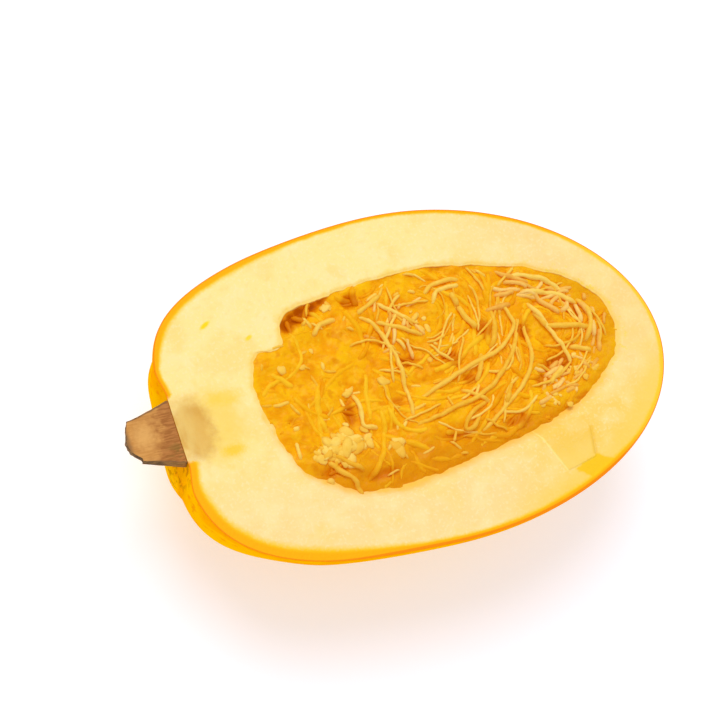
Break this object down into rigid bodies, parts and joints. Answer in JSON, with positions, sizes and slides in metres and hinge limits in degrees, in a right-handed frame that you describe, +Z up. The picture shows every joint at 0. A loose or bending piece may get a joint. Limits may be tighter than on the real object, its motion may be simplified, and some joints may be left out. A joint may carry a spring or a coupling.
{
  "type": "spaghetti squash half",
  "caption": "Half of a spaghetti squash cut lengthwise, lying on its back, with pale flesh, thin golden rind, stringy orange pulp and its woody stem.",
  "frame": {"origin": "on the ground, in the small flat of the belly, under the middle of the squash's length", "axes": "+X along the squash from the stem to the blossom end, +Z up and out of the cut face, +Y across"},
  "size_m": [0.2381, 0.142, 0.0709],
  "materials": {
    "flesh": "moist pale flesh with a satin golden-yellow rind",
    "pulp": "wet, stringy and translucent",
    "stem": "dry, fibrous and ridged, with dark bark"
  },
  "bodies": {
    "root": {"squash_half": "flesh", "pulp": "pulp", "stem": "stem"}
  },
  "joints": []
}
